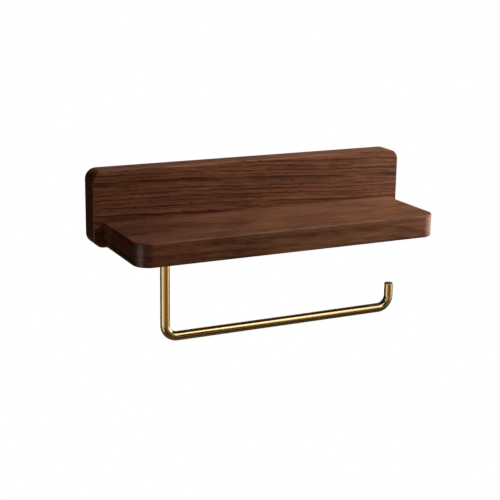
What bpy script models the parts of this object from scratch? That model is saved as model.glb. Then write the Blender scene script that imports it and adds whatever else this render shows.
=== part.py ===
"""Wall-hung toilet paper holder: a walnut back board and shelf with a brass roll arm.

Frame: metres, +Z up, +X to the right as seen from the room, +Y into the wall.
The origin is the centre of the back board's rear face, so the wall is the plane y = 0.
"""
import math

import bmesh
import bpy
from mathutils import Matrix, Vector

# Back board
BOARD_WIDTH = 0.300
BOARD_HEIGHT = 0.066
BOARD_THICKNESS = 0.021
BOARD_CORNER_RADIUS = 0.0095

# Shelf, butted against the board's front face
SHELF_INSET = 0.009            # from each end of the board
SHELF_DEPTH = 0.082
SHELF_THICKNESS = 0.020
SHELF_CORNER_RADIUS = 0.014    # the two front corners
SHELF_LIFT = 0.002             # underside above the board's lower edge
EDGE_ROUND = 0.002             # on both boards

# Roll arm: one rod, bent down, across and up
ROD_RADIUS = 0.00415
ROD_BEND_RADIUS = 0.011        # centreline
LEG_X = -0.102
BAR_SPAN = 0.2215              # leg axis to tip axis
BAR_DROP = 0.0742              # shelf underside to bar axis
TIP_RISE = 0.0226              # bar axis to the cut end of the tip
ROD_END_CHAMFER = 0.0006
STUD_RADIUS = 0.003            # turned down and threaded M6
STUD_END_TAPER = 0.8           # of the stud's radius
STUD_END_ROOM = 0.001          # from the stud's end to the insert's inner end
SHOULDER_STEP = 0.00001        # the step from stud to rod, as near to a flat shoulder as a sweep allows

# Fittings that hold the arm under the shelf
COLLAR_RADIUS = 0.008
COLLAR_THICKNESS = 0.003
COLLAR_CHAMFER = 0.0005
WASHER_RADIUS = 0.007
WASHER_THICKNESS = 0.0008
WASHER_CHAMFER = 0.0002
INSERT_RADIUS = 0.005
INSERT_LENGTH = 0.013
INSERT_PLAIN_END = 0.001       # without ridges, at either end
INSERT_RIDGE_HEIGHT = 0.0006
INSERT_RIDGE_PITCH = 0.0022

# Dowels and screws between board and shelf
DOWEL_RADIUS = 0.004
DOWEL_LENGTH = 0.040
DOWEL_IN_BOARD = 0.012
DOWEL_CHAMFER = 0.0008
DOWEL_HOLE_CHAMFER = 0.0005    # left by the drill's point
DOWEL_PLACES = {"left": -0.127, "middle": 0.0, "right": 0.127}
SHELF_SCREW_RADIUS = 0.00225
SHELF_SCREW_HEAD_RADIUS = 0.0044
SHELF_SCREW_LENGTH = 0.060
SHELF_SCREW_PITCH = 0.0028
SHELF_SCREW_SINK = 0.0005      # head below the rear face
SHELF_SCREW_PLACES = {"left": -0.062, "right": 0.062}

# Keyhole hanger plates, let into the rear face
HANGER_PLACES = {"left": -0.112, "right": 0.112}
HANGER_Z = 0.006
PLATE_WIDTH = 0.022
PLATE_HEIGHT = 0.048
PLATE_THICKNESS = 0.0016
PLATE_CORNER_RADIUS = 0.004
PLATE_SINK = 0.0002            # plate below the rear face
KEYHOLE_ENTRY_RADIUS = 0.0052
KEYHOLE_SLOT_WIDTH = 0.0054
KEYHOLE_ENTRY_Z = -0.006       # from the plate's centre
KEYHOLE_TOP_Z = 0.008
HEAD_POCKET_WIDTH = 0.013      # room behind the plate for the wall screw's head
HEAD_POCKET_DEPTH = 0.0095
HANGER_SCREW_RADIUS = 0.00175
HANGER_SCREW_HEAD_RADIUS = 0.0034
HANGER_SCREW_LENGTH = 0.012
HANGER_SCREW_PITCH = 0.0015
HANGER_SCREW_Z = 0.020         # above and below the plate's centre

# Every wood screw, as shares of its own radius, head radius or length
SCREW_CORE = 0.72              # thread root, of the radius
SCREW_CONE = 1.1               # cone height, of how far the head stands out
SCREW_PLAIN = 0.35             # shank without thread, of the length
SCREW_POINT = 3                # point length, of the radius
SCREW_HEAD_RIM = 0.0003        # the head's straight edge
RECESS_REACH = 0.55            # of the head radius
RECESS_DEPTH = 0.8             # of the radius
RECESS_ARM = 0.26              # half the arm's width, of the reach

FIT_GAP = 0.0003               # between pieces that touch
CUT_PAST = 0.002               # how far a cutter runs past the face it opens
ROUND_SIDES = 20
SMALL_SIDES = 12
CORNER_STEPS = 6
EDGE_STEPS = 3
BEND_STEPS = 8
MERGE_DISTANCE = 0.00001
SMOOTH_ANGLE = math.radians(32)

WALNUT = ("walnut", (0.105, 0.048, 0.028), 0.55, 0.0)
BRASS = ("satin_brass", (0.62, 0.43, 0.17), 0.28, 1.0)
STEEL = ("zinc_plated_steel", (0.62, 0.63, 0.65), 0.35, 1.0)
BEECH = ("beech", (0.62, 0.42, 0.24), 0.65, 0.0)
NYLON = ("white_nylon", (0.80, 0.79, 0.75), 0.45, 0.0)

SHELF_BOTTOM = -BOARD_HEIGHT / 2 + SHELF_LIFT
SHELF_MIDDLE = SHELF_BOTTOM + SHELF_THICKNESS / 2
SHELF_REAR = -BOARD_THICKNESS - FIT_GAP
SHELF_FRONT = -BOARD_THICKNESS - SHELF_DEPTH
LEG_Y = -BOARD_THICKNESS - SHELF_DEPTH / 2    # the middle of the shelf's depth


def clear_scene():
    for old in list(bpy.data.objects):
        bpy.data.objects.remove(old, do_unlink=True)


def finish_material(spec):
    """A Principled material, made once and shared by the pieces of the same finish."""
    name, colour, roughness, metallic = spec
    found = bpy.data.materials.get(name)
    if found:
        return found
    made = bpy.data.materials.new(name)
    made.use_nodes = True
    shader = made.node_tree.nodes["Principled BSDF"]
    shader.inputs["Base Color"].default_value = (*colour, 1.0)
    shader.inputs["Roughness"].default_value = roughness
    shader.inputs["Metallic"].default_value = metallic
    made.diffuse_color = (*colour, 1.0)
    return made


def place(name, bm, location, spec=None):
    """Turn a bmesh into a named object. Without a finish it is a cutter."""
    bmesh.ops.recalc_face_normals(bm, faces=bm.faces)
    mesh = bpy.data.meshes.new(name)
    bm.to_mesh(mesh)
    bm.free()
    piece = bpy.data.objects.new(name, mesh)
    piece.location = location
    bpy.context.scene.collection.objects.link(piece)
    if spec:
        mesh.materials.append(finish_material(spec))
        mesh.shade_smooth()
        mesh.set_sharp_from_angle(angle=SMOOTH_ANGLE)
    else:
        piece.hide_render = True
        piece.display_type = "WIRE"
    return piece


def cut(piece, cutter):
    """Subtract one hidden cutter from a piece."""
    step = piece.modifiers.new("cut_" + cutter.name, "BOOLEAN")
    step.operation = "DIFFERENCE"
    step.solver = "EXACT"
    step.object = cutter


def arc(centre, radius, start, end, steps):
    """Points of a circular arc in the plane, angles in degrees."""
    points = []
    for i in range(steps + 1):
        angle = math.radians(start + (end - start) * i / steps)
        points.append((centre[0] + radius * math.cos(angle), centre[1] + radius * math.sin(angle)))
    return points


def rounded_rectangle(low, high, radii):
    """Outline from the lower left corner round to the upper left; radius 0 is a sharp corner."""
    corners = [(low[0], low[1], 180), (high[0], low[1], 270), (high[0], high[1], 0), (low[0], high[1], 90)]
    middle = ((low[0] + high[0]) / 2, (low[1] + high[1]) / 2)
    points = []
    for (x, z, start), radius in zip(corners, radii):
        if radius == 0:
            points.append((x, z))
            continue
        centre = (x + math.copysign(radius, middle[0] - x), z + math.copysign(radius, middle[1] - z))
        points += arc(centre, radius, start, start + 90, CORNER_STEPS)
    return points


def keyhole(entry_radius, slot_width, entry_z, top_z):
    """A round entry with a narrower slot rising from it to a round end."""
    half = slot_width / 2
    meet = math.degrees(math.asin(half / entry_radius))
    entry = arc((0, entry_z), entry_radius, 90 + meet, 450 - meet, 2 * CORNER_STEPS)
    return entry + arc((0, top_z), half, 0, 180, CORNER_STEPS)


def slab(outline, thickness, axis):
    """Extrude an outline. Along Z it is drawn in X and Y; along Y it is drawn in X and Z."""
    bm = bmesh.new()
    if axis == "Z":
        verts = [bm.verts.new((x, y, 0)) for x, y in outline]
        way = Vector((0, 0, thickness))
    else:
        verts = [bm.verts.new((x, 0, z)) for x, z in outline]
        way = Vector((0, -thickness, 0))
    base = bm.faces.new(verts)
    grown = bmesh.ops.extrude_face_region(bm, geom=[base])["geom"]
    bmesh.ops.translate(bm, vec=way, verts=[v for v in grown if isinstance(v, bmesh.types.BMVert)])
    return bm


def round_edges(bm, wanted):
    """Round over the edges that the test picks."""
    edges = [edge for edge in bm.edges if wanted(edge)]
    bmesh.ops.bevel(bm, geom=edges, offset=EDGE_ROUND, segments=EDGE_STEPS, profile=0.5, affect="EDGES")


def lathe(profile, sides, lie_along_y=False):
    """Turn a profile of (radius, height) points about Z. Lying along Y, height runs into the room."""
    bm = bmesh.new()
    verts = [bm.verts.new((radius, 0, height)) for radius, height in profile]
    edges = [bm.edges.new(pair) for pair in zip(verts, verts[1:])]
    if profile[0][0] > 0 and profile[-1][0] > 0:
        edges.append(bm.edges.new((verts[-1], verts[0])))
    bmesh.ops.spin(
        bm, geom=verts + edges, cent=(0, 0, 0), axis=(0, 0, 1),
        angle=2 * math.pi, steps=sides, use_merge=True,
    )
    bmesh.ops.remove_doubles(bm, verts=bm.verts, dist=MERGE_DISTANCE)
    if lie_along_y:
        bmesh.ops.rotate(bm, cent=(0, 0, 0), matrix=Matrix.Rotation(math.radians(90), 3, "X"), verts=bm.verts)
    return bm


def rod_profile(radius, length, chamfer):
    """A plain round rod with chamfered ends."""
    return [
        (0, 0), (radius - chamfer, 0), (radius, chamfer),
        (radius, length - chamfer), (radius - chamfer, length), (0, length),
    ]


def ridges(core, crest, start, end, pitch):
    """Thread turns as closed ridges round a core."""
    count = int((end - start) / pitch)
    points = []
    for i in range(count):
        points += [(core, start + i * pitch), (crest, start + (i + 0.5) * pitch)]
    return points + [(core, start + count * pitch)]


def countersunk_screw(radius, head_radius, length, pitch):
    """Profile of a wood screw from its head's face to its point."""
    core = radius * SCREW_CORE
    cone_end = SCREW_HEAD_RIM + (head_radius - radius) * SCREW_CONE
    plain_end = length * SCREW_PLAIN
    point_start = length - SCREW_POINT * radius
    profile = [(0, 0), (head_radius, 0), (head_radius, SCREW_HEAD_RIM)]
    profile += [(radius, cone_end), (radius, plain_end)]
    profile += ridges(core, radius, plain_end + radius / 2, point_start, pitch)
    return profile + [(0, length)]


def countersunk_hole(radius, head_radius, length, sink):
    """Room for that screw, open to the face it is driven from."""
    rim = head_radius + FIT_GAP
    shaft = radius + FIT_GAP
    start = sink + SCREW_HEAD_RIM + FIT_GAP
    cone_end = start + (head_radius - radius) * SCREW_CONE
    return [
        (0, -CUT_PAST), (rim, -CUT_PAST), (rim, start), (shaft, cone_end),
        (shaft, sink + length + FIT_GAP), (0, sink + length + FIT_GAP),
    ]


def cross_recess(name, location, reach, depth):
    """Cutter for the driver recess in a screw head, sunk along -Y."""
    arm = reach * RECESS_ARM
    outline = [
        (-arm, -reach), (arm, -reach), (arm, -arm), (reach, -arm), (reach, arm), (arm, arm),
        (arm, reach), (-arm, reach), (-arm, arm), (-reach, arm), (-reach, -arm), (-arm, -arm),
    ]
    bm = slab(outline, depth + CUT_PAST, "Y")
    x, y, z = location
    return place(name, bm, (x, y + CUT_PAST, z))


def make_screw(name, location, radius, head_radius, length, pitch):
    """A countersunk wood screw driven into the board's rear, head facing the wall."""
    profile = countersunk_screw(radius, head_radius, length, pitch)
    screw = place(name, lathe(profile, SMALL_SIDES, lie_along_y=True), location, STEEL)
    cut(screw, cross_recess(name + "_recess", location, head_radius * RECESS_REACH, radius * RECESS_DEPTH))


def make_back_board():
    half_width, half_height = BOARD_WIDTH / 2, BOARD_HEIGHT / 2
    corners = [BOARD_CORNER_RADIUS] * 4
    outline = rounded_rectangle((-half_width, -half_height), (half_width, half_height), corners)
    bm = slab(outline, BOARD_THICKNESS, "Y")
    round_edges(bm, lambda edge: abs(edge.verts[0].co.y - edge.verts[1].co.y) < EDGE_ROUND)
    board = place("back_board", bm, (0, 0, 0), WALNUT)

    depth = DOWEL_IN_BOARD + FIT_GAP + CUT_PAST
    hole = rod_profile(DOWEL_RADIUS + FIT_GAP, depth, DOWEL_HOLE_CHAMFER)
    for side, x in DOWEL_PLACES.items():
        start = (x, -BOARD_THICKNESS + DOWEL_IN_BOARD + FIT_GAP, SHELF_MIDDLE)
        cut(board, place("board_dowel_hole_" + side, lathe(hole, SMALL_SIDES, True), start))
    hole = countersunk_hole(SHELF_SCREW_RADIUS, SHELF_SCREW_HEAD_RADIUS, SHELF_SCREW_LENGTH, SHELF_SCREW_SINK)
    for side, x in SHELF_SCREW_PLACES.items():
        cut(board, place("board_screw_hole_" + side, lathe(hole, SMALL_SIDES, True), (x, 0, SHELF_MIDDLE)))
    for side, x in HANGER_PLACES.items():
        cut_hanger_seat(board, side, x)


def cut_hanger_seat(board, side, x):
    """Routed seat for one hanger plate, with a deeper pocket for the wall screw's head."""
    half_width = PLATE_WIDTH / 2 + FIT_GAP
    half_height = PLATE_HEIGHT / 2 + FIT_GAP
    seat = rounded_rectangle(
        (-half_width, -half_height), (half_width, half_height), [PLATE_CORNER_RADIUS + FIT_GAP] * 4
    )
    seat_depth = PLATE_SINK + PLATE_THICKNESS + FIT_GAP
    cut(board, place("plate_seat_" + side, slab(seat, seat_depth + CUT_PAST, "Y"), (x, CUT_PAST, HANGER_Z)))

    radius = HEAD_POCKET_WIDTH / 2
    pocket = arc((0, KEYHOLE_ENTRY_Z), radius, 180, 360, 2 * CORNER_STEPS)
    pocket += arc((0, KEYHOLE_TOP_Z), radius, 0, 180, 2 * CORNER_STEPS)
    pocket_cutter = slab(pocket, HEAD_POCKET_DEPTH + CUT_PAST, "Y")
    cut(board, place("head_pocket_" + side, pocket_cutter, (x, CUT_PAST, HANGER_Z)))

    for end, z in (("top", HANGER_Z + HANGER_SCREW_Z), ("bottom", HANGER_Z - HANGER_SCREW_Z)):
        hole = rod_profile(HANGER_SCREW_RADIUS + FIT_GAP, HANGER_SCREW_LENGTH + FIT_GAP + CUT_PAST, FIT_GAP)
        name = "board_hanger_hole_" + side + "_" + end
        cut(board, place(name, lathe(hole, SMALL_SIDES, True), (x, CUT_PAST - PLATE_SINK, z)))


def make_shelf_board():
    half_width = BOARD_WIDTH / 2 - SHELF_INSET
    front_radii = [SHELF_CORNER_RADIUS, SHELF_CORNER_RADIUS, 0, 0]
    outline = rounded_rectangle((-half_width, SHELF_FRONT), (half_width, SHELF_REAR), front_radii)
    bm = slab(outline, SHELF_THICKNESS, "Z")

    def is_outer_rim(edge):
        first, second = (vert.co for vert in edge.verts)
        level = abs(first.z - second.z) < EDGE_ROUND
        at_rear = min(first.y, second.y) > SHELF_REAR - EDGE_ROUND
        return level and not at_rear

    round_edges(bm, is_outer_rim)
    shelf = place("shelf_board", bm, (0, 0, SHELF_BOTTOM), WALNUT)

    depth = DOWEL_LENGTH - DOWEL_IN_BOARD + FIT_GAP + CUT_PAST
    hole = rod_profile(DOWEL_RADIUS + FIT_GAP, depth, DOWEL_HOLE_CHAMFER)
    for side, x in DOWEL_PLACES.items():
        start = (x, -BOARD_THICKNESS + CUT_PAST, SHELF_MIDDLE)
        cut(shelf, place("shelf_dowel_hole_" + side, lathe(hole, SMALL_SIDES, True), start))
    hole = rod_profile(SHELF_SCREW_RADIUS + FIT_GAP, SHELF_SCREW_LENGTH + 2 * FIT_GAP, FIT_GAP)
    for side, x in SHELF_SCREW_PLACES.items():
        name = "shelf_screw_hole_" + side
        cut(shelf, place(name, lathe(hole, SMALL_SIDES, True), (x, -SHELF_SCREW_SINK, SHELF_MIDDLE)))

    socket_depth = 2 * FIT_GAP + INSERT_LENGTH
    socket = rod_profile(INSERT_RADIUS + FIT_GAP, socket_depth + CUT_PAST, FIT_GAP)
    cut(shelf, place("insert_socket", lathe(socket, ROUND_SIDES), (LEG_X, LEG_Y, SHELF_BOTTOM - CUT_PAST)))


def make_dowels():
    for side, x in DOWEL_PLACES.items():
        rod = rod_profile(DOWEL_RADIUS, DOWEL_LENGTH, DOWEL_CHAMFER)
        start = -BOARD_THICKNESS + DOWEL_IN_BOARD
        place("shelf_dowel_" + side, lathe(rod, SMALL_SIDES, True), (x, start, SHELF_MIDDLE), BEECH)


def make_shelf_screws():
    for side, x in SHELF_SCREW_PLACES.items():
        make_screw(
            "shelf_screw_" + side, (x, -SHELF_SCREW_SINK, SHELF_MIDDLE),
            SHELF_SCREW_RADIUS, SHELF_SCREW_HEAD_RADIUS, SHELF_SCREW_LENGTH, SHELF_SCREW_PITCH,
        )


def make_hangers():
    for side, x in HANGER_PLACES.items():
        make_hanger_plate(side, x)
        for end, z in (("top", HANGER_Z + HANGER_SCREW_Z), ("bottom", HANGER_Z - HANGER_SCREW_Z)):
            make_screw(
                "hanger_screw_" + side + "_" + end, (x, -PLATE_SINK, z),
                HANGER_SCREW_RADIUS, HANGER_SCREW_HEAD_RADIUS, HANGER_SCREW_LENGTH, HANGER_SCREW_PITCH,
            )


def make_hanger_plate(side, x):
    """A steel plate with a keyhole that drops over the head of a screw in the wall."""
    half_width, half_height = PLATE_WIDTH / 2, PLATE_HEIGHT / 2
    corners = [PLATE_CORNER_RADIUS] * 4
    outline = rounded_rectangle((-half_width, -half_height), (half_width, half_height), corners)
    location = (x, -PLATE_SINK, HANGER_Z)
    plate = place("hanger_plate_" + side, slab(outline, PLATE_THICKNESS, "Y"), location, STEEL)

    slot = keyhole(KEYHOLE_ENTRY_RADIUS, KEYHOLE_SLOT_WIDTH, KEYHOLE_ENTRY_Z, KEYHOLE_TOP_Z)
    slot_cutter = slab(slot, PLATE_THICKNESS + 2 * CUT_PAST, "Y")
    cut(plate, place("keyhole_" + side, slot_cutter, (x, CUT_PAST, HANGER_Z)))
    for end, z in (("top", HANGER_Z + HANGER_SCREW_Z), ("bottom", HANGER_Z - HANGER_SCREW_Z)):
        hole = countersunk_hole(HANGER_SCREW_RADIUS, HANGER_SCREW_HEAD_RADIUS, HANGER_SCREW_LENGTH, 0)
        name = "plate_hole_" + side + "_" + end
        cut(plate, place(name, lathe(hole, SMALL_SIDES, True), (x, -PLATE_SINK, z)))


def make_arm_insert():
    """Threaded brass insert driven into the shelf's underside: ridged outside, plain bore inside."""
    bore = STUD_RADIUS + FIT_GAP
    core = INSERT_RADIUS - INSERT_RIDGE_HEIGHT
    ridges_end = INSERT_LENGTH - INSERT_PLAIN_END
    profile = [(bore, 0), (core, 0)]
    profile += ridges(core, INSERT_RADIUS, INSERT_PLAIN_END, ridges_end, INSERT_RIDGE_PITCH)
    profile += [(core, INSERT_LENGTH), (bore, INSERT_LENGTH)]
    place("arm_insert", lathe(profile, ROUND_SIDES), (LEG_X, LEG_Y, SHELF_BOTTOM + FIT_GAP), BRASS)


def ring_profile(inner, outer, thickness, chamfer):
    """A flat ring with chamfered outer corners."""
    return [
        (inner, 0), (outer - chamfer, 0), (outer, chamfer),
        (outer, thickness - chamfer), (outer - chamfer, thickness), (inner, thickness),
    ]


def make_collar_and_washer():
    """Nylon washer against the wood, and the brass collar that locks the stud below it."""
    hole = STUD_RADIUS + FIT_GAP
    washer_z = SHELF_BOTTOM - FIT_GAP - WASHER_THICKNESS
    washer = ring_profile(hole, WASHER_RADIUS, WASHER_THICKNESS, WASHER_CHAMFER)
    place("arm_washer", lathe(washer, ROUND_SIDES), (LEG_X, LEG_Y, washer_z), NYLON)
    collar_z = washer_z - FIT_GAP - COLLAR_THICKNESS
    collar = ring_profile(hole, COLLAR_RADIUS, COLLAR_THICKNESS, COLLAR_CHAMFER)
    place("arm_lock_collar", lathe(collar, ROUND_SIDES), (LEG_X, LEG_Y, collar_z), BRASS)
    return collar_z


def bend(start, turn_in):
    """Centreline points of a quarter bend in X and Z; turn_in is +1 for down-to-right, -1 for right-to-up."""
    points = []
    for i in range(1, BEND_STEPS + 1):
        angle = math.pi / 2 * i / BEND_STEPS
        along, across = ROD_BEND_RADIUS * math.sin(angle), ROD_BEND_RADIUS * (1 - math.cos(angle))
        if turn_in > 0:
            points.append((start[0] + across, start[1] - along))
        else:
            points.append((start[0] + along, start[1] + across))
    return points


def make_roll_arm(shoulder_z):
    """The bent rod. Its origin is on the leg's axis, level with the shelf's underside."""
    stud_top = INSERT_LENGTH - STUD_END_ROOM
    shoulder = shoulder_z - FIT_GAP - SHELF_BOTTOM
    chamfered = 1 - ROD_END_CHAMFER / ROD_RADIUS
    stud = STUD_RADIUS / ROD_RADIUS
    route = [
        ((0, stud_top), stud * STUD_END_TAPER), ((0, stud_top - ROD_END_CHAMFER), stud),
        ((0, shoulder), stud), ((0, shoulder - SHOULDER_STEP), chamfered),
        ((0, shoulder - ROD_END_CHAMFER), 1.0), ((0, -BAR_DROP + ROD_BEND_RADIUS), 1.0),
    ]
    route += [(point, 1.0) for point in bend((0, -BAR_DROP + ROD_BEND_RADIUS), 1)]
    second_bend = (BAR_SPAN - ROD_BEND_RADIUS, -BAR_DROP)
    route.append((second_bend, 1.0))
    route += [(point, 1.0) for point in bend(second_bend, -1)]
    route += [
        ((BAR_SPAN, -BAR_DROP + TIP_RISE - ROD_END_CHAMFER), 1.0),
        ((BAR_SPAN, -BAR_DROP + TIP_RISE), chamfered),
    ]

    curve = bpy.data.curves.new("roll_arm", "CURVE")
    curve.dimensions = "3D"
    curve.bevel_depth = ROD_RADIUS
    curve.bevel_resolution = (ROUND_SIDES - 4) // 2
    curve.use_fill_caps = True
    spline = curve.splines.new("POLY")
    spline.points.add(len(route) - 1)
    for point, ((x, z), factor) in zip(spline.points, route):
        point.co = (x, 0, z, 1)
        point.radius = factor
    spline.use_smooth = True
    curve.materials.append(finish_material(BRASS))
    arm = bpy.data.objects.new("roll_arm", curve)
    arm.location = (LEG_X, LEG_Y, SHELF_BOTTOM)
    bpy.context.scene.collection.objects.link(arm)


clear_scene()
make_back_board()
make_shelf_board()
make_dowels()
make_shelf_screws()
make_hangers()
make_arm_insert()
make_roll_arm(make_collar_and_washer())
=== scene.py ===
"""Looks of the wall-hung toilet paper holder: oiled walnut boards, satin brass arm, plated fittings."""

import math

import bmesh
import bpy
from mathutils import Matrix, Vector


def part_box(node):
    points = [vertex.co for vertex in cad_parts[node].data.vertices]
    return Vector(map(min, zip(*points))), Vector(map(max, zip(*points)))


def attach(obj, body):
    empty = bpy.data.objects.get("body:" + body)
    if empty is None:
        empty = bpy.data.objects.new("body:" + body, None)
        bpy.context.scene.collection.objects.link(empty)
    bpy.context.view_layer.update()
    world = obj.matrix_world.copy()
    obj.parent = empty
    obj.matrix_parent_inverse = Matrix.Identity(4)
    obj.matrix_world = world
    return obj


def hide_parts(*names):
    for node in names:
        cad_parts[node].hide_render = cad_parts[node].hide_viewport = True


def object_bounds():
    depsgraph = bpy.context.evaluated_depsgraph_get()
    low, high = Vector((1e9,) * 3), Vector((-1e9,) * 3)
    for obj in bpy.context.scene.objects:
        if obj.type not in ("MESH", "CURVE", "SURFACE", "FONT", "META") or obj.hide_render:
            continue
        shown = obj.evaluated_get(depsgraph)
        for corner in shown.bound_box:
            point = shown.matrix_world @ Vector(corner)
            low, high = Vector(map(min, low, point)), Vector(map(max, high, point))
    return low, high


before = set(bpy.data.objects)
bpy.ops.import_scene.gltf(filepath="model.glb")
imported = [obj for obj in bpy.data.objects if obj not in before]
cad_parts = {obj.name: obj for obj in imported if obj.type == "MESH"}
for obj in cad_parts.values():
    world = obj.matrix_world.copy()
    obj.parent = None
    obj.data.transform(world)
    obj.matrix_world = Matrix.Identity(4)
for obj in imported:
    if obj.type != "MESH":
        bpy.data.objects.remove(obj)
cad_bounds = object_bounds()

# Boards, metres
BOARD_CORNER_RADIUS = 0.0095
SHELF_CORNER_RADIUS = 0.014
EDGE_ROUND = 0.0013
WALL_EDGE_ROUND = 0.0008       # the rim that lies on the wall
CORNER_STEPS = 20
EDGE_STEPS = 7
SMALL_EDGE_STEPS = 3
JOINT_GAP = 0.00005            # the glue line between shelf and board

# Roll arm
ROD_BEND_RADIUS = 0.011        # centreline
ROD_SIDES = 56
BEND_STEPS = 28
STRAIGHT_STEP = 0.006
ROD_END_ROUND = 0.0006
ROD_END_STEPS = 4
ROD_GIRTH = 0.026              # once round the rod
TIP_RISE = 0.0226              # bar axis to the cut end of the tip
STUD_RADIUS = 0.003
STUD_TOP = 0.8                 # radius of the stud's eased top, as a share of its own
SHOULDER_STEP = 0.00002        # keeps the stud's foot off the shoulder's face
WASHER_EDGE = 0.0002
COLLAR_EDGE = 0.0006
RING_EDGE_STEPS = 6

# Fittings
FIT_GAP = 0.0003
CUT_PAST = 0.002               # how far a cutter reaches past the face it cuts
TURNED_SIDES = 48
MERGE_DISTANCE = 0.000002
PLATE_CORNER_RADIUS = 0.004
PLATE_EDGE = 0.00015
KEYHOLE_ENTRY_RADIUS = 0.0052
KEYHOLE_SLOT_WIDTH = 0.0054
KEYHOLE_ENTRY_Z = -0.006       # from the plate's centre
KEYHOLE_TOP_Z = 0.008
KEYHOLE_ENTRY_STEPS = 48
KEYHOLE_SLOT_STEPS = 24
HEAD_POCKET_WIDTH = 0.013
HEAD_POCKET_DEPTH = 0.0095
HEAD_POCKET_STEPS = 32
SMOOTH_ANGLE = math.radians(30)

# Screws: the radius of the thread and its pitch
SHELF_SCREW = (0.00225, 0.0028)
HANGER_SCREW = (0.00175, 0.0015)
THREAD_CORE = 0.72             # share of the thread's radius
THREAD_FLANKS = (0.30, 0.5, 0.70)  # foot, crest and foot of a turn, as shares of the pitch
PLAIN_SHANK = 0.35             # share of the screw's length
POINT_LENGTH = 3               # in thread radii
HEAD_LIP = 0.0004              # the straight rim over the countersink
HEAD_EASE = (0.97, 0.0002)     # share of the head's radius that is flat, and depth of its eased edge
HEAD_SEAT = 0.0003             # depth of the countersink's line at the head's rim
HEAD_SLOPE = 1.1               # and how much deeper it gets for each metre inwards
CROSS_REACH = 0.55             # share of the head's radius
CROSS_ARM = 0.26               # half the width of an arm, as a share of its reach
CROSS_DEPTH = 0.8              # in thread radii

# Holes for the screws
SHELF_HOLE = 0.53              # share of the radius at the countersink's mouth
SHELF_HOLE_SINK = 0.6          # depth of the countersink, as a share of the same
PLATE_HOLE = 0.62              # share of the head's radius
PLATE_HOLE_SINK = 0.0019       # depth of the countersink
PLATE_HOLE_DEPTH = 0.004       # past the plate's far side

# Camera: where it stands round the object, and what it looks at
CAMERA_AZIMUTH = -26.11
CAMERA_ELEVATION = 14.91
CAMERA_ROLL = 0.88
CAMERA_TARGET = (-0.0148, -0.045, -0.0418)
CAMERA_DISTANCE = 1.0508
CAMERA_LENS = 86.23

# Wood
WOOD_IOR = 1.37                # below a lacquer's, for the low gloss of oiled wood
PAINTED_FALLOFF_HUE = 0.055              # painted light: how much green and blue the left end lacks, and the right end has more
TONE_SHARES = (                # place on the ramp, and shares of the board's mean colour
    (0.0, (0.25, 0.22, 0.20)),
    (0.30, (0.54, 0.50, 0.48)),
    (0.60, (1.0, 1.0, 1.0)),
    (1.0, (1.70, 1.76, 1.80)),
)
PLAIN_WOOD = 0.66              # place on the ramp of wood without figure
EARLY_WOOD = 0.18              # how much paler a ring starts than it ends, as a share of its dark line
LATE_WOOD_END = 0.97           # where in a ring the dark line is darkest
HALF_WIDTH = 0.15              # of the back board, for the painted light that falls off along the boards
GREENER = (0.96, 1.07, 0.95, 1)    # the tint of some patches

# Studio: the points that the lights are aimed at, and the tints that aren't white
NEAR_RIGHT = (0.13, -0.06, -0.02)
MIDDLE = (0, -0.05, -0.03)
ROD_MIDDLE = (0.0, -0.062, -0.085)
CARD_DISTANCE = 1.2
CARD_TINT = (1.0, 0.95, 0.88)
SHEEN_TINT = (1.0, 0.68, 0.59)
WARM_FILL = (1.0, 0.52, 0.14)
ROOM_LIGHT = (0.004, 0.004, 0.004, 1)
FLOOR_DEPTH = 1.0              # below the object
FLOOR_SIZE = 40.0
FLOOR_TONE = (0.42, 0.37, 0.29, 1)


# ---------------------------------------------------------------- node trees

class Look:
    """A material's node tree, with short calls to add nodes and join them."""

    def __init__(self, name):
        self.material = bpy.data.materials.new(name)
        self.material.use_nodes = True
        self.tree = self.material.node_tree
        self.surface = self.tree.nodes["Principled BSDF"]

    def add(self, kind, settings=None, **inputs):
        node = self.tree.nodes.new("ShaderNode" + kind)
        for key, value in (settings or {}).items():
            setattr(node, key, value)
        for key, value in inputs.items():
            self.feed(node.inputs[key.replace("_", " ")], value)
        return node

    def feed(self, socket, value):
        if isinstance(value, bpy.types.NodeSocket):
            self.tree.links.new(value, socket)
        else:
            socket.default_value = value

    def math(self, operation, first, second=0.0, clamp=False):
        node = self.add("Math", {"operation": operation, "use_clamp": clamp})
        self.feed(node.inputs[0], first)
        self.feed(node.inputs[1], second)
        return node.outputs[0]

    def vector(self, operation, first, second=(0, 0, 0)):
        node = self.add("VectorMath", {"operation": operation})
        self.feed(node.inputs[0], first)
        self.feed(node.inputs[1], second)
        return node.outputs["Value" if operation == "LENGTH" else "Vector"]

    def span(self, value, low, high, to_low=0.0, to_high=1.0, smooth=False):
        """Map low..high to to_low..to_high, held at the ends."""
        node = self.add("MapRange", {"interpolation_type": "SMOOTHSTEP" if smooth else "LINEAR"})
        for socket, number in zip(node.inputs[:5], (value, low, high, to_low, to_high)):
            self.feed(socket, number)
        return node.outputs["Result"]

    def noise(self, vector, detail, roughness, colour=False):
        node = self.add("TexNoise", Vector=vector, Scale=1.0, Detail=detail, Roughness=roughness)
        return node.outputs["Color" if colour else "Fac"]

    def stretched(self, vector, scale):
        return self.vector("MULTIPLY", vector, scale)

    def ramp(self, value, stops):
        node = self.add("ValToRGB", Fac=value)
        band = node.color_ramp
        while len(band.elements) < len(stops):
            band.elements.new(0.5)
        for element, (place, colour) in zip(band.elements, stops):
            element.position = place
            element.color = (*colour, 1.0)
        return node.outputs["Color"]

    def mix(self, share, first, second, blend="MIX"):
        node = self.add("Mix", {"data_type": "RGBA", "blend_type": blend})
        self.feed(node.inputs["Factor"], share)
        self.feed(node.inputs[6], first)
        self.feed(node.inputs[7], second)
        return node.outputs[2]

    def bump(self, height, distance, strength):
        node = self.add("Bump", Height=height, Distance=distance, Strength=strength)
        return node.outputs["Normal"]

    def coordinates(self, kind="Object"):
        return self.add("TexCoord").outputs[kind]


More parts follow.
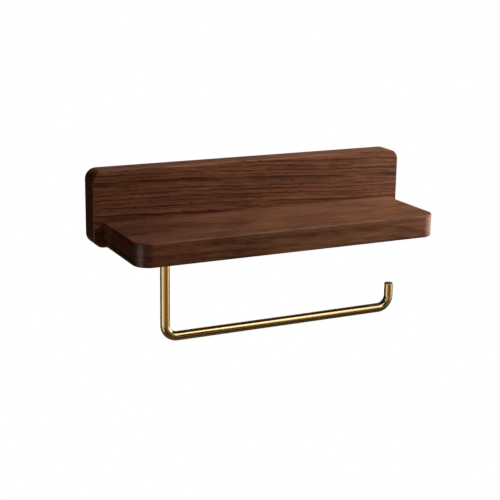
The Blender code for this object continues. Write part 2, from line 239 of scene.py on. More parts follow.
def tone(mean):
    """Ramp from the darkest line to the palest fibre round a board's mean colour."""
    stops = []
    for place, shares in TONE_SHARES:
        stops.append((place, [channel * share for channel, share in zip(mean, shares)]))
    return stops


class Timber:
    """How one board was sawn: where its grain runs and how strongly each part of the figure shows,
    and what light and shade are painted on it.

    Lengths are in metres. shift is the place in the endless pattern that the board is cut from. pith is
    where the ring centre passes through the Y-Z plane, and ring is about how far apart the rings are.
    tilt turns the grain in the X-Z plane and skew in the X-Y plane. lines, pores, fibres and patches
    are strengths, and line_width is the dark line's share of a ring. break_length is how far a dark
    line runs before it fades. The share after the tone is painted light: how much paler the board is
    painted from its middle to its right end, and darker to its left, as the light from the right falls
    off.
    knot is a point that the rings swell round, its reach and the swelling. Each streak is a long band:
    the axis it is placed on, its place there at x = 0, its slope, its half width and its strength,
    which is negative for a pale one. Some streaks are grain, and others paint light and shade."""

    def __init__(self, name, shift, pith, ring, tilt, skew, lines, line_width, pores, fibres, patches,
                 break_length, tone, drift, knot=None, veins_and_painted_light=()):
        self.name, self.shift, self.pith, self.ring = name, shift, pith, ring
        self.tilt, self.skew = math.radians(tilt), math.radians(skew)
        self.lines, self.line_width, self.pores = lines, line_width, pores
        self.fibres, self.patches, self.break_length = fibres, patches, break_length
        self.tone, self.drift, self.knot, self.veins_and_painted_light = tone, drift, knot, veins_and_painted_light


def bend_grain(look, place):
    """Shift the pattern across the grain, in long waves and in short ones."""
    def wander(frequency, detail, amount):
        shift = look.noise(look.stretched(place, frequency), detail, 0.5, colour=True)
        shift = look.vector("SUBTRACT", shift, (0.5, 0.5, 0.5))
        return look.vector("MULTIPLY", shift, (0, amount, amount))

    waved = look.vector("ADD", place, wander((5, 14, 14), 1.0, 0.010))
    return look.vector("ADD", waved, wander((75, 160, 160), 2.0, 0.0016))


def growth_rings(look, timber, here, bent, broken):
    """The pale early wood and the dark late line of each ring, which breaks up along the grain."""
    centre = Vector((0, *timber.pith)) + Vector(timber.shift)
    across = look.vector("MULTIPLY", look.vector("SUBTRACT", bent, tuple(centre)), (0, 1, 1))
    radius = look.vector("LENGTH", across)
    if timber.knot:
        where, reach, swell = timber.knot
        away = look.vector("LENGTH", look.vector("SUBTRACT", here, where))
        radius = look.math("ADD", radius, look.span(away, 0.0, reach, swell, 0.0, smooth=True))

    count = look.math("MULTIPLY", radius, 1 / timber.ring)
    uneven = look.add("TexNoise", {"noise_dimensions": "1D"}, W=radius, Scale=0.35 / timber.ring,
                      Detail=1.0, Roughness=0.5).outputs["Fac"]
    count = look.math("ADD", count, look.math("MULTIPLY", uneven, 2.4))
    phase = look.math("FRACT", count)
    number = look.math("FLOOR", count)
    year = look.add("TexWhiteNoise", {"noise_dimensions": "1D"}, W=number).outputs["Value"]
    late = look.span(phase, 1 - timber.line_width, LATE_WOOD_END, smooth=True)
    late = look.math("MULTIPLY", late, look.span(phase, LATE_WOOD_END, 1.0, 1.0, 0.0, smooth=True))
    late = look.math("MULTIPLY", late, look.span(year, 0.0, 1.0, 0.35, 1.0))
    late = look.math("MULTIPLY", late, look.span(broken, 0.34, 0.58, 0.35, 1.0))
    return look.span(phase, 0.0, 1.0, 0.5, -0.5), late


def add_veins_and_painted_light(look, timber, value, split, place, broken):
    """Darken or pale the value along each of the board's long streaks: grain lines, and painted light
    and shade.
    """
    wobble = look.noise(look.stretched(place, (14, 40, 40)), 2.0, 0.5)
    wobble = look.span(wobble, 0.0, 1.0, -0.004, 0.004)
    for axis, level, slope, half_width, strength in timber.veins_and_painted_light:
        middle = look.math("ADD", look.math("MULTIPLY", split["X"], slope), level)
        away = look.math("SUBTRACT", look.math("ADD", split[axis], wobble), middle)
        away = look.math("ABSOLUTE", away)
        dark = look.span(away, 0.0, half_width, strength, 0.0, smooth=True)
        dark = look.math("MULTIPLY", dark, look.span(broken, 0.3, 0.6, 0.5, 1.0))
        value = look.math("SUBTRACT", value, dark)
    return value


def painted_light_at_end(timber, way):
    """Painted light: what the colour is multiplied by at the board's right end, way 1, or its left end,
    way -1.
    """
    red = 1 + way * timber.drift
    return red, red + way * PAINTED_FALLOFF_HUE, red + way * PAINTED_FALLOFF_HUE, 1


def walnut(timber):
    """Solid oiled walnut: growth rings round a pith line, fibres and open pores along the grain.

    The pattern is solid, so faces, edges and end grain agree. The colour also carries painted light and
    shade."""
    look = Look(timber.name)
    here = look.coordinates()
    split = look.add("SeparateXYZ", Vector=here).outputs
    turned = look.add("VectorRotate", {"rotation_type": "EULER_XYZ"}, Vector=here,
                      Rotation=(0, timber.tilt, timber.skew)).outputs["Vector"]
    place = look.vector("ADD", turned, timber.shift)
    bent = bend_grain(look, place)
    rate = 1 / timber.break_length
    broken = look.noise(look.stretched(bent, (rate, rate * 5, rate * 5)), 2.0, 0.6)
    early, late = growth_rings(look, timber, here, bent, broken)
    fibres = look.noise(look.stretched(bent, (18, 620, 620)), 3.0, 0.6)
    patches = look.noise(look.stretched(place, (20, 55, 55)), 3.0, 0.55)
    pores = look.noise(look.stretched(bent, (110, 950, 950)), 2.0, 0.5)
    pores = look.span(pores, 0.52, 0.68, smooth=True)

    value = look.math("MULTIPLY", early, EARLY_WOOD * timber.lines)
    value = look.math("ADD", value, look.span(fibres, 0.2, 0.8, -timber.fibres, timber.fibres))
    value = look.math("ADD", value, look.span(patches, 0.2, 0.8, -timber.patches, timber.patches))
    value = look.math("SUBTRACT", value, look.math("MULTIPLY", late, timber.lines))
    value = look.math("SUBTRACT", value, look.math("MULTIPLY", pores, timber.pores))
    value = add_veins_and_painted_light(look, timber, value, split, place, broken)
    colour = look.ramp(look.math("ADD", value, PLAIN_WOOD, clamp=True), timber.tone)

    # Painted light: the colour is made paler towards the right end and darker towards the left, with a
    # hue shift, as the light falls off from the right.
    along_board = look.span(split["X"], -HALF_WIDTH, HALF_WIDTH)
    drift = look.mix(along_board, painted_light_at_end(timber, -1), painted_light_at_end(timber, 1))
    colour = look.mix(1.0, colour, drift, "MULTIPLY")
    hue = look.noise(look.stretched(place, (12, 40, 40)), 2.0, 0.5)
    colour = look.mix(look.span(hue, 0.35, 0.65, 0.0, 0.4), colour, GREENER, "MULTIPLY")
    look.feed(look.surface.inputs["Base Color"], colour)

    rough = look.span(fibres, 0.2, 0.8, 0.42, 0.34)
    rough = look.math("ADD", rough, look.math("MULTIPLY", pores, 0.12))
    look.feed(look.surface.inputs["Roughness"], rough)
    relief = look.math("SUBTRACT", look.math("MULTIPLY", fibres, 0.5), pores)
    look.feed(look.surface.inputs["Normal"], look.bump(relief, 0.00010, 0.4))
    look.surface.inputs["IOR"].default_value = WOOD_IOR
    return look.material


BACK_BOARD_TIMBER = Timber(
    "walnut_back_board", shift=(0.31, 0.07, 0.02), pith=(0.25, -0.26), ring=0.0030, tilt=-3.4, skew=1.0,
    lines=0.95, line_width=0.34, pores=0.26, fibres=0.40, patches=0.14, break_length=0.05,
    # The last share on the next line is painted light: the board is painted paler towards its right
    # end.
    tone=tone((0.286, 0.1025, 0.048)), drift=0.02,
    # Of the streaks on the next line, the first is painted light: it pales the board's top face and the
    # top of its front, where light from above falls. The second is a dark line just above the shelf,
    # partly a line in the wood and partly painted shade where the shelf meets the board.
    veins_and_painted_light=(("Z", 0.0335, 0.0, 0.0040, -0.22), ("Z", -0.0096, 0.0, 0.0022, 0.24)),
)
SHELF_TIMBER = Timber(
    "walnut_shelf", shift=(1.43, 0.35, 0.524), pith=(-0.06, -0.5), ring=0.0125, tilt=-1.2, skew=2.0,
    lines=0.50, line_width=0.55, pores=0.22, fibres=0.36, patches=0.28, break_length=0.05,
    # The last share on the next line is painted light: the shelf is painted paler towards its right
    # end.
    tone=tone((0.258, 0.0955, 0.0463)), drift=0.10, knot=((0.155, -0.11, -0.045), 0.07, 0.014),
    veins_and_painted_light=(
        ("Z", -0.0160, -0.030, 0.0020, 0.12), ("Z", -0.0288, -0.018, 0.0024, 0.26),
        # On the next line, the first streak is a pale band in the wood. The second is painted light: it
        # pales the shelf's front face and the front of its top.
        ("Y", -0.0300, 0.020, 0.0140, -0.30), ("Y", -0.1045, 0.0, 0.0085, -0.16),
    ),
)


def satin_brass(name, lengthwise):
    """Brushed and lacquered brass, brushed lengthwise by the rod's UV map, or round a turned part."""
    look = Look(name)
    if lengthwise:
        route = look.coordinates("UV")
        marks = look.noise(look.stretched(route, (60, 0.6, 1)), 2.0, 0.5)
    else:
        route = look.coordinates()
        marks = look.noise(look.stretched(route, (300, 300, 5200)), 4.0, 0.6)
    cloud = look.noise(look.stretched(look.coordinates(), (45, 45, 45)), 3.0, 0.5)
    deep, pale = (0.78, 0.575, 0.275), (0.83, 0.62, 0.305)
    look.feed(look.surface.inputs["Base Color"], look.ramp(cloud, ((0.3, deep), (0.7, pale))))
    look.surface.inputs["Metallic"].default_value = 1.0
    brushed = look.span(marks, 0.2, 0.8, 0.17, 0.20)
    handled = look.span(cloud, 0.3, 0.7, -0.01, 0.01)
    look.feed(look.surface.inputs["Roughness"], look.math("ADD", brushed, handled))
    look.feed(look.surface.inputs["Normal"], look.bump(marks, 0.000002, 0.1))
    return look.material


def zinc_steel():
    """Zinc-plated steel: faint spangle and rolling marks."""
    look = Look("zinc_steel")
    place = look.coordinates()
    cells = look.add("TexVoronoi", Vector=place, Scale=420.0).outputs["Color"]
    tint = look.ramp(cells, ((0.2, (0.46, 0.48, 0.51)), (0.8, (0.60, 0.61, 0.63))))
    marks = look.noise(look.stretched(place, (2500, 2500, 160)), 3.0, 0.6)
    look.feed(look.surface.inputs["Base Color"], tint)
    look.surface.inputs["Metallic"].default_value = 1.0
    look.feed(look.surface.inputs["Roughness"], look.span(marks, 0.2, 0.8, 0.26, 0.42))
    look.feed(look.surface.inputs["Normal"], look.bump(marks, 0.00002, 0.5))
    return look.material


def beech():
    """Raw beech dowel: pale wood with short rays along the rod."""
    look = Look("raw_beech")
    place = look.coordinates()
    rays = look.noise(look.stretched(place, (1500, 160, 1500)), 3.0, 0.6)
    colour = look.ramp(rays, ((0.35, (0.36, 0.20, 0.10)), (0.65, (0.55, 0.36, 0.21))))
    look.feed(look.surface.inputs["Base Color"], colour)
    look.feed(look.surface.inputs["Roughness"], look.span(rays, 0.2, 0.8, 0.75, 0.6))
    look.feed(look.surface.inputs["Normal"], look.bump(rays, 0.00008, 0.5))
    return look.material


def nylon():
    """White nylon washer with a fine moulded grain."""
    look = Look("white_nylon")
    grain = look.noise(look.stretched(look.coordinates(), (2600, 2600, 2600)), 2.0, 0.5)
    colour = look.ramp(grain, ((0.3, (0.66, 0.65, 0.60)), (0.7, (0.74, 0.73, 0.69))))
    look.feed(look.surface.inputs["Base Color"], colour)
    look.feed(look.surface.inputs["Roughness"], look.span(grain, 0.3, 0.7, 0.42, 0.52))
    look.surface.inputs["Subsurface Weight"].default_value = 0.1
    look.surface.inputs["Subsurface Radius"].default_value = (0.001, 0.001, 0.001)
    look.feed(look.surface.inputs["Normal"], look.bump(grain, 0.00003, 0.4))
    return look.material


# ---------------------------------------------------------------- mesh helpers

def arc(centre, radius, start, end, steps):
    points = []
    for i in range(steps + 1):
        angle = math.radians(start + (end - start) * i / steps)
        points.append((centre[0] + radius * math.cos(angle), centre[1] + radius * math.sin(angle)))
    return points


def rounded_rectangle(low, high, radii):
    """Outline from the lower left corner round to the upper left; radius 0 is a sharp corner."""
    corners = [
        (low[0], low[1], 180), (high[0], low[1], 270), (high[0], high[1], 0), (low[0], high[1], 90),
    ]
    middle = ((low[0] + high[0]) / 2, (low[1] + high[1]) / 2)
    points = []
    for (x, z, start), radius in zip(corners, radii):
        if radius == 0:
            points.append((x, z))
            continue
        centre = (x + math.copysign(radius, middle[0] - x), z + math.copysign(radius, middle[1] - z))
        points += arc(centre, radius, start, start + 90, CORNER_STEPS)
    return points


def slab(outline, low, high, axis):
    """Extrude an outline between two levels. Along Z it is drawn in X and Y; along Y in X and Z."""
    bm = bmesh.new()
    if axis == "Z":
        verts = [bm.verts.new((x, y, low)) for x, y in outline]
        way = Vector((0, 0, high - low))
    else:
        verts = [bm.verts.new((x, low, z)) for x, z in outline]
        way = Vector((0, high - low, 0))
    base = bm.faces.new(verts)
    grown = bmesh.ops.extrude_face_region(bm, geom=[base])["geom"]
    bmesh.ops.translate(bm, vec=way, verts=[v for v in grown if isinstance(v, bmesh.types.BMVert)])
    return bm


def round_edges(bm, wanted, width=EDGE_ROUND, steps=EDGE_STEPS):
    edges = [edge for edge in bm.edges if wanted(edge)]
    bmesh.ops.bevel(bm, geom=edges, offset=width, segments=steps, profile=0.5, affect="EDGES")


def lathe(profile, centre, lie_along_y=False):
    """Turn (radius, height) points about Z through centre. Lying along Y, height runs into the room."""
    bm = bmesh.new()
    verts = [bm.verts.new((radius, 0, height)) for radius, height in profile]
    edges = [bm.edges.new(pair) for pair in zip(verts, verts[1:])]
    if profile[0][0] > 0 and profile[-1][0] > 0:
        edges.append(bm.edges.new((verts[-1], verts[0])))
    bmesh.ops.spin(
        bm, geom=verts + edges, cent=(0, 0, 0), axis=(0, 0, 1),
        angle=2 * math.pi, steps=TURNED_SIDES, use_merge=True,
    )
    bmesh.ops.remove_doubles(bm, verts=bm.verts, dist=MERGE_DISTANCE)
    if lie_along_y:
        quarter_turn = Matrix.Rotation(math.radians(90), 3, "X")
        bmesh.ops.rotate(bm, cent=(0, 0, 0), matrix=quarter_turn, verts=bm.verts)
    bmesh.ops.translate(bm, vec=Vector(centre), verts=bm.verts)
    return bm


def as_object(name, bm):
    bmesh.ops.recalc_face_normals(bm, faces=bm.faces)
    mesh = bpy.data.meshes.new(name)
    bm.to_mesh(mesh)
    bm.free()
    made = bpy.data.objects.new(name, mesh)
    bpy.context.scene.collection.objects.link(made)
    return made


def cut_away(target, cutters):
    """Subtract the cutters, bake the result into the mesh and remove them."""
    for cutter in cutters:
        step = target.modifiers.new("cut", "BOOLEAN")
        step.solver = "EXACT"
        step.object = cutter
    bake(target)
    for cutter in cutters:
        bpy.data.objects.remove(cutter, do_unlink=True)


def bake(target):
    """Replace the mesh by what its modifiers make of it."""
    graph = bpy.context.evaluated_depsgraph_get()
    made = bpy.data.meshes.new_from_object(target.evaluated_get(graph))
    old = target.data
    target.modifiers.clear()
    target.data = made
    bpy.data.meshes.remove(old)


def finish_piece(piece, material, body, replaced):
    """Shading, material, and what the piece rides on and stands for."""
    piece.data.materials.clear()
    piece.data.materials.append(material)
    piece.data.shade_smooth()
    piece.data.set_sharp_from_angle(angle=SMOOTH_ANGLE)
    flat = piece.modifiers.new("flat_faces", "WEIGHTED_NORMAL")
    flat.keep_sharp = True
    flat.weight = 100
    bake(piece)
    piece.name = piece.data.name = replaced + "_fine"
    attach(piece, body)
    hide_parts(replaced)


# ---------------------------------------------------------------- boards

def keyhole(x, z):
    """A round entry with a narrower slot rising from it, in a plate with its centre at x and z."""
    radius, half = KEYHOLE_ENTRY_RADIUS, KEYHOLE_SLOT_WIDTH / 2
    meet = math.degrees(math.asin(half / radius))
    entry = arc((x, z + KEYHOLE_ENTRY_Z), radius, 90 + meet, 450 - meet, KEYHOLE_ENTRY_STEPS)
    return entry + arc((x, z + KEYHOLE_TOP_Z), half, 0, 180, KEYHOLE_SLOT_STEPS)


def hanger_cutters(side):
    """The seat for a hanger plate and the deeper pocket behind its keyhole."""
    low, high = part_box("hanger_plate_" + side)
    x, z = (low.x + high.x) / 2, (low.z + high.z) / 2
    seat = rounded_rectangle(
        (low.x - FIT_GAP, low.z - FIT_GAP), (high.x + FIT_GAP, high.z + FIT_GAP),
        [PLATE_CORNER_RADIUS + FIT_GAP] * 4,
    )
    radius = HEAD_POCKET_WIDTH / 2
    pocket = arc((x, z + KEYHOLE_ENTRY_Z), radius, 180, 360, HEAD_POCKET_STEPS)
    pocket += arc((x, z + KEYHOLE_TOP_Z), radius, 0, 180, HEAD_POCKET_STEPS)
    return [
        as_object("seat_cutter", slab(seat, CUT_PAST, low.y - FIT_GAP, "Y")),
        as_object("pocket_cutter", slab(pocket, CUT_PAST, -HEAD_POCKET_DEPTH, "Y")),
    ]


def shelf_screw_cutter(side):
    """The countersunk hole that a shelf screw's head sits in."""
    low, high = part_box("shelf_screw_" + side)
    middle = (low + high) / 2
    mouth = (high.x - low.x) / 2 + FIT_GAP
    bore = mouth * SHELF_HOLE
    sink = -high.y
    profile = [
        (0, -CUT_PAST), (mouth, -CUT_PAST), (mouth, sink + 2 * FIT_GAP),
        (bore, sink + mouth * SHELF_HOLE_SINK), (bore, -low.y), (0, -low.y),
    ]
    return as_object("screw_cutter", lathe(profile, (middle.x, 0, middle.z), True))


def make_back_board(material):
    low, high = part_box("back_board")
    outline = rounded_rectangle((low.x, low.z), (high.x, high.z), [BOARD_CORNER_RADIUS] * 4)
    bm = slab(outline, high.y, low.y, "Y")

    def is_front_rim(edge):
        return all(vert.co.y < low.y + EDGE_ROUND for vert in edge.verts)

    def is_wall_rim(edge):
        return all(vert.co.y > high.y - EDGE_ROUND for vert in edge.verts)

    round_edges(bm, is_front_rim)
    round_edges(bm, is_wall_rim, WALL_EDGE_ROUND, SMALL_EDGE_STEPS)
    board = as_object("back_board_fine", bm)
    cutters = hanger_cutters("left") + hanger_cutters("right")
    cutters += [shelf_screw_cutter("left"), shelf_screw_cutter("right")]
    cut_away(board, cutters)
    finish_piece(board, material, "root", "back_board")


def make_shelf_board(material):
    low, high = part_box("shelf_board")
    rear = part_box("back_board")[0].y - JOINT_GAP
    outline = rounded_rectangle((low.x, low.y), (high.x, rear), [SHELF_CORNER_RADIUS] * 2 + [0, 0])
    bm = slab(outline, low.z, high.z, "Z")

    def is_outer_rim(edge):
        first, second = (vert.co for vert in edge.verts)
        level = abs(first.z - second.z) < EDGE_ROUND
        return level and min(first.y, second.y) < rear - EDGE_ROUND

    round_edges(bm, is_outer_rim)
    shelf = as_object("shelf_board_fine", bm)
    insert_low, insert_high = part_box("arm_insert")
    radius = (insert_high.x - insert_low.x) / 2 + FIT_GAP
    centre = (insert_low + insert_high) / 2
    mouth, end = low.z - CUT_PAST, insert_high.z
    socket = [(0, mouth), (radius, mouth), (radius, end), (0, end)]
    cut_away(shelf, [as_object("socket_cutter", lathe(socket, (centre.x, centre.y, 0)))])
    finish_piece(shelf, material, "root", "shelf_board")


# ---------------------------------------------------------------- roll arm

def arm_route():
    """Centreline (x, z) points and radii of the arm, from the stud's top to the tip's end."""
    low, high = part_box("roll_arm")
    radius = (high.y - low.y) / 2
    leg_x, tip_x = low.x + radius, high.x - radius
    bar_z = low.z + radius
    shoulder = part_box("arm_lock_collar")[0].z - FIT_GAP
    tip_z = bar_z + TIP_RISE
    turn = ROD_BEND_RADIUS
    round_off = ROD_END_ROUND
    route = [
        ((leg_x, high.z), STUD_RADIUS * STUD_TOP), ((leg_x, high.z - round_off), STUD_RADIUS),
        ((leg_x, shoulder + SHOULDER_STEP), STUD_RADIUS),
    ]
    route += [((leg_x, z), r) for z, r in end_round(shoulder, radius)]
    rod = straight((leg_x, shoulder - round_off), (leg_x, bar_z + turn))
    rod += arc((leg_x + turn, bar_z + turn), turn, 180, 270, BEND_STEPS)[1:]
    rod += straight((leg_x + turn, bar_z), (tip_x - turn, bar_z))
    rod += arc((tip_x - turn, bar_z + turn), turn, 270, 360, BEND_STEPS)[1:]
    rod += straight((tip_x, bar_z + turn), (tip_x, tip_z - round_off))
    route += [(point, radius) for point in rod]
    route += [((tip_x, z), r) for z, r in reversed(end_round(tip_z, radius)[:-1])]
    return route


def end_round(level, radius):
    """Heights and radii of a rounded-off upper end, from its face downwards."""
    points = []
    for i in range(ROD_END_STEPS + 1):
        angle = math.pi / 2 * i / ROD_END_STEPS
        height = level - ROD_END_ROUND * (1 - math.cos(angle))
        points.append((height, radius - ROD_END_ROUND * (1 - math.sin(angle))))
    return points


def straight(start, end):
    """Points along a straight stretch, leaving out its start."""
    count = max(1, round(math.dist(start, end) / STRAIGHT_STEP))
    points = []
    for i in range(1, count + 1):
        x = start[0] + (end[0] - start[0]) * i / count
        z = start[1] + (end[1] - start[1]) * i / count
        points.append((x, z))
    return points


def make_roll_arm(material):
    """Sweep a circle along the arm. In its UV map U counts turns and V counts girths along the rod."""
    low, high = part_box("roll_arm")
    y = (low.y + high.y) / 2
    route = arm_route()
    bm = bmesh.new()
    uv = bm.loops.layers.uv.new("along_rod")
    rings, travel = [], [0.0]
    for i, ((x, z), radius) in enumerate(route):
        before, after = route[max(i - 1, 0)][0], route[min(i + 1, len(route) - 1)][0]
        along = Vector((after[0] - before[0], 0, after[1] - before[1])).normalized()
        side = Vector((0, 1, 0))
        up = along.cross(side)
        centre = Vector((x, y, z))
        ring = []
        for k in range(ROD_SIDES):
            angle = 2 * math.pi * k / ROD_SIDES
            ring.append(bm.verts.new(centre + radius * (math.cos(angle) * side + math.sin(angle) * up)))
        rings.append(ring)
        if i:
            travel.append(travel[-1] + math.dist(route[i - 1][0], (x, z)))
    for i in range(len(rings) - 1):
        for k in range(ROD_SIDES):
            after = (k + 1) % ROD_SIDES
            face = bm.faces.new((rings[i][k], rings[i][after], rings[i + 1][after], rings[i + 1][k]))
            for loop, (step, turn) in zip(face.loops, ((i, k), (i, k + 1), (i + 1, k + 1), (i + 1, k))):
                loop[uv].uv = (turn / ROD_SIDES, travel[step] / ROD_GIRTH)
    bm.faces.new(rings[0])
    bm.faces.new(reversed(rings[-1]))
    arm = as_object("roll_arm_fine", bm)
    finish_piece(arm, material, "arm", "roll_arm")


# ---------------------------------------------------------------- fittings

def soft_ring(inner, outer, low, high, edge):
    """Profile of a ring with rounded outer corners and an eased bore."""
    profile = [(inner, low + edge / 2), (inner + edge / 2, low)]
    profile += arc((outer - edge, low + edge), edge, -90, 0, RING_EDGE_STEPS)
    profile += arc((outer - edge, high - edge), edge, 0, 90, RING_EDGE_STEPS)
    return profile + [(inner + edge / 2, high), (inner, high - edge / 2)]


def make_ring(node, material, body, edge):
    low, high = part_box(node)
    centre = (low + high) / 2
    profile = soft_ring(STUD_RADIUS + FIT_GAP, (high.x - low.x) / 2, low.z, high.z, edge)
    ring = as_object(node + "_fine", lathe(profile, (centre.x, centre.y, 0)))
    finish_piece(ring, material, body, node)


def make_hanger_plate(side, material):
    low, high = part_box("hanger_plate_" + side)
    outline = rounded_rectangle((low.x, low.z), (high.x, high.z), [PLATE_CORNER_RADIUS] * 4)
    bm = slab(outline, high.y, low.y, "Y")

    def is_rim(edge):
        return abs(edge.verts[0].co.y - edge.verts[1].co.y) < PLATE_EDGE

    round_edges(bm, is_rim, PLATE_EDGE, SMALL_EDGE_STEPS)
    plate = as_object("hanger_plate", bm)
    opening = keyhole((low.x + high.x) / 2, (low.z + high.z) / 2)
    cutters = [as_object("keyhole_cutter", slab(opening, CUT_PAST, low.y - CUT_PAST, "Y"))]
    for end in ("top", "bottom"):
        screw_low, screw_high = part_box("hanger_screw_" + side + "_" + end)
        middle = (screw_low + screw_high) / 2
        head = (screw_high.x - screw_low.x) / 2
        rim, bore = head + FIT_GAP, head * PLATE_HOLE
        profile = [
            (0, -CUT_PAST), (rim, -CUT_PAST), (rim, HEAD_LIP),
            (bore, PLATE_HOLE_SINK), (bore, PLATE_HOLE_DEPTH), (0, PLATE_HOLE_DEPTH),
        ]
        hole = lathe(profile, (middle.x, screw_high.y, middle.z), True)
        cutters.append(as_object("hole_cutter", hole))
    cut_away(plate, cutters)
    finish_piece(plate, material, "root", "hanger_plate_" + side)


def screw_profile(head, length, radius, pitch):
    """Half outline of a countersunk screw, from the middle of its head to its point."""
    core = radius * THREAD_CORE
    flat, ease = HEAD_EASE
    profile = [(0, 0), (head * flat, 0), (head, ease), (head, HEAD_LIP)]
    profile.append((radius, HEAD_SEAT + (head - radius) * HEAD_SLOPE))
    shank_end, point_start = length * PLAIN_SHANK, length - POINT_LENGTH * radius
    thread_start = shank_end + radius / 2
    profile += [(radius, shank_end), (core, thread_start)]
    for i in range(int((point_start - thread_start) / pitch)):
        start = thread_start + i * pitch
        profile += [(r, start + pitch * share) for r, share in zip((core, radius, core), THREAD_FLANKS)]
    return profile + [(core, point_start), (0, length)]


def make_screw(node, size, material):
    """A countersunk screw with a cross recess, its head facing the wall."""
    low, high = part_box(node)
    middle = (low + high) / 2
    radius, pitch = size
    head = (high.x - low.x) / 2
    profile = screw_profile(head, high.y - low.y, radius, pitch)
    screw = as_object(node, lathe(profile, (middle.x, high.y, middle.z), True))
    reach, depth = head * CROSS_REACH, radius * CROSS_DEPTH
    arm = reach * CROSS_ARM
    cross = [
        (-arm, -reach), (arm, -reach), (arm, -arm), (reach, -arm), (reach, arm), (arm, arm),
        (arm, reach), (-arm, reach), (-arm, arm), (-reach, arm), (-reach, -arm), (-arm, -arm),
    ]
    cross = [(middle.x + x, middle.z + z) for x, z in cross]
    cut_away(screw, [as_object("cross_cutter", slab(cross, high.y + CUT_PAST, high.y - depth, "Y"))])
    finish_piece(screw, material, "root", node)


def make_fittings(brass, steel):
    make_ring("arm_washer", nylon(), "root", WASHER_EDGE)
    make_ring("arm_lock_collar", brass, "arm", COLLAR_EDGE)
    for side in ("left", "right"):
        make_hanger_plate(side, steel)
        make_screw("shelf_screw_" + side, SHELF_SCREW, steel)
        for end in ("top", "bottom"):
            make_screw("hanger_screw_" + side + "_" + end, HANGER_SCREW, steel)


def dress_hidden_nodes(brass):
    """Pieces inside the wood keep their CAD shape and get a real material."""
    wood = beech()
    for place in ("left", "middle", "right"):
        repaint("shelf_dowel_" + place, wood)
    repaint("arm_insert", brass)


def repaint(node, material):
    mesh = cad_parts[node].data
    mesh.materials.clear()
    mesh.materials.append(material)


# ---------------------------------------------------------------- studio

def make_floor():
    """A pale floor, plain white to the camera. The object mirrors it in FLOOR_TONE."""
    level = cad_bounds[0].z - FLOOR_DEPTH
    half = FLOOR_SIZE / 2
    corners = [(-half, -half, level), (half, -half, level), (half, half, level), (-half, half, level)]
    mesh = bpy.data.meshes.new("floor")
    mesh.from_pydata(corners, [], [(0, 1, 2, 3)])
    floor = bpy.data.objects.new("floor", mesh)
    bpy.context.scene.collection.objects.link(floor)
    look = Look("pale_floor")
    look.surface.inputs["Base Color"].default_value = FLOOR_TONE
    look.surface.inputs["Roughness"].default_value = 0.9
    white = look.add("Emission", Color=(1, 1, 1, 1), Strength=1.0)
    seen = look.add("LightPath").outputs["Is Camera Ray"]
    both = look.add("MixShader", Fac=seen)
    look.feed(both.inputs[1], look.surface.outputs[0])
    look.feed(both.inputs[2], white.outputs[0])
    look.feed(look.tree.nodes["Material Output"].inputs["Surface"], both.outputs[0])
    mesh.materials.append(look.material)


def make_world():
    """White to the camera, and a trace of light from all round for the object."""
    world = bpy.data.worlds.new("studio")
    world.use_nodes = True
    tree = world.node_tree
    tree.nodes.clear()
    room = tree.nodes.new("ShaderNodeBackground")
    room.inputs["Color"].default_value = ROOM_LIGHT
    white = tree.nodes.new("ShaderNodeBackground")
    white.inputs["Color"].default_value = (1, 1, 1, 1)
    seen = tree.nodes.new("ShaderNodeLightPath")
    both = tree.nodes.new("ShaderNodeMixShader")
    output = tree.nodes.new("ShaderNodeOutputWorld")
    tree.links.new(seen.outputs["Is Camera Ray"], both.inputs[0])
    tree.links.new(room.outputs[0], both.inputs[1])
    tree.links.new(white.outputs[0], both.inputs[2])
    tree.links.new(both.outputs[0], output.inputs[0])
    bpy.context.scene.world = world


def direction(azimuth, elevation):
    """From the object towards a point round it; azimuth 0 is the room side, 90 the right."""
    a, e = math.radians(azimuth), math.radians(elevation)
    return Vector((math.sin(a) * math.cos(e), -math.cos(a) * math.cos(e), math.sin(e)))


def softbox(name, azimuth, elevation, distance, size, radiance, aim, tint=(1, 1, 1)):
    """An area light of an even radiance, facing the object."""
    lamp = bpy.data.lights.new(name, "AREA")
    lamp.color = tint
    lamp.shape = "RECTANGLE"
    lamp.size, lamp.size_y = size
    lamp.energy = radiance * size[0] * size[1] * math.pi
    made = bpy.data.objects.new(name, lamp)
    way = direction(azimuth, elevation)
    made.location = Vector(aim) + way * distance
    made.rotation_mode = "QUATERNION"
    made.rotation_quaternion = (-way).to_track_quat("-Z", "Y")
    made.visible_camera = False
    bpy.context.scene.collection.objects.link(made)
    return made


def group_for_light(name, *nodes):
    """A collection of pieces, for a light that is to light only them."""
    group = bpy.data.collections.new(name)
    for node in nodes:
        group.objects.link(bpy.data.objects[node + "_fine"])
    return group


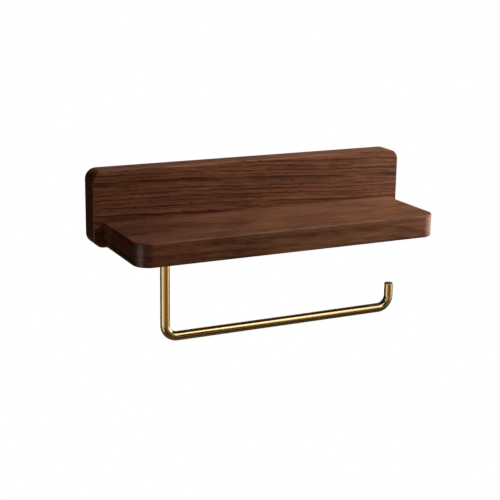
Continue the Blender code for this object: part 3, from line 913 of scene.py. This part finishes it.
def make_lights():
    """Large softboxes near the right end, smaller ones round about, a low left card and a warm fill.

    The brass mirrors cards that would light the wood too much, so those are linked to the brass alone.
    corner_sheen is for the gloss of the shelf's rounded left corner. The key stays out of the gloss,
    where it would veil the shelf as seen from the left."""
    brass = group_for_light("brass_only", "roll_arm", "arm_lock_collar")
    wood = group_for_light("wood_only", "back_board", "shelf_board")
    key = softbox("key", 76, 30, 0.5, (0.56, 0.30), 3.7, NEAR_RIGHT)
    key.visible_glossy = False
    softbox("key_low", 84, -5, 0.5, (0.60, 0.30), 2.7, NEAR_RIGHT)
    softbox("front_right", 36, 38, 1.1, (0.45, 0.45), 2.0, MIDDLE)
    softbox("front_right_low", 36, 17, 1.1, (0.45, 0.4), 1.05, MIDDLE)
    softbox("top_right", 120, 70, 0.8, (0.5, 0.5), 1.7, MIDDLE)
    softbox("behind", 160, 28, 0.9, (0.6, 0.15), 0.35, MIDDLE)
    softbox("back_fill", 165, -14, 1.3, (0.7, 0.5), 2.6, MIDDLE)
    softbox("left_card", -82, -15, CARD_DISTANCE, (0.85, 0.24), 1.05, ROD_MIDDLE, CARD_TINT)
    sheen = softbox("corner_sheen", -74, -15, CARD_DISTANCE, (0.42, 0.50), 4.6, ROD_MIDDLE, SHEEN_TINT)
    sheen.visible_diffuse = False
    sheen.light_linking.receiver_collection = wood
    for name, azimuth, elevation, size, radiance in (
        ("rod_left", -50, -15, (0.48, 0.26), 0.5), ("rod_left_far", -82, -15, (0.85, 0.24), 0.2),
        ("rod_left_low", -78, -31, (0.85, 0.48), 0.6), ("rod_right", 62, -15, (0.9, 0.26), 0.75),
        ("rod_behind", 154, 12, (0.8, 0.5), 0.08), ("rod_front_left", -42, 12, (1.45, 1.0), 0.45),
        ("rod_front_top", 8, 50, (0.7, 0.55), 0.9),
    ):
        card = softbox(name, azimuth, elevation, CARD_DISTANCE, size, radiance, ROD_MIDDLE)
        card.light_linking.receiver_collection = brass
    softbox("warm_low", 0, -18, 1.1, (1.5, 0.36), 0.23, MIDDLE, WARM_FILL)


def make_camera():
    camera = bpy.data.objects.new("camera", bpy.data.cameras.new("camera"))
    bpy.context.scene.collection.objects.link(camera)
    camera.data.sensor_width = 36.0
    camera.data.lens = CAMERA_LENS
    back = direction(CAMERA_AZIMUTH, CAMERA_ELEVATION)
    camera.location = Vector(CAMERA_TARGET) + back * CAMERA_DISTANCE
    upright = (-back).to_track_quat("-Z", "Y").to_matrix().to_4x4()
    roll = Matrix.Rotation(math.radians(CAMERA_ROLL), 4, "Z")
    camera.rotation_mode = "QUATERNION"
    camera.rotation_quaternion = (upright @ roll).to_quaternion()
    bpy.context.scene.camera = camera


rod_brass = satin_brass("satin_brass_rod", True)
turned_brass = satin_brass("satin_brass_turned", False)
make_back_board(walnut(BACK_BOARD_TIMBER))
make_shelf_board(walnut(SHELF_TIMBER))
make_roll_arm(rod_brass)
make_fittings(turned_brass, zinc_steel())
dress_hidden_nodes(turned_brass)
make_floor()
make_world()
make_lights()
make_camera()
bpy.context.scene.view_settings.view_transform = "Standard"
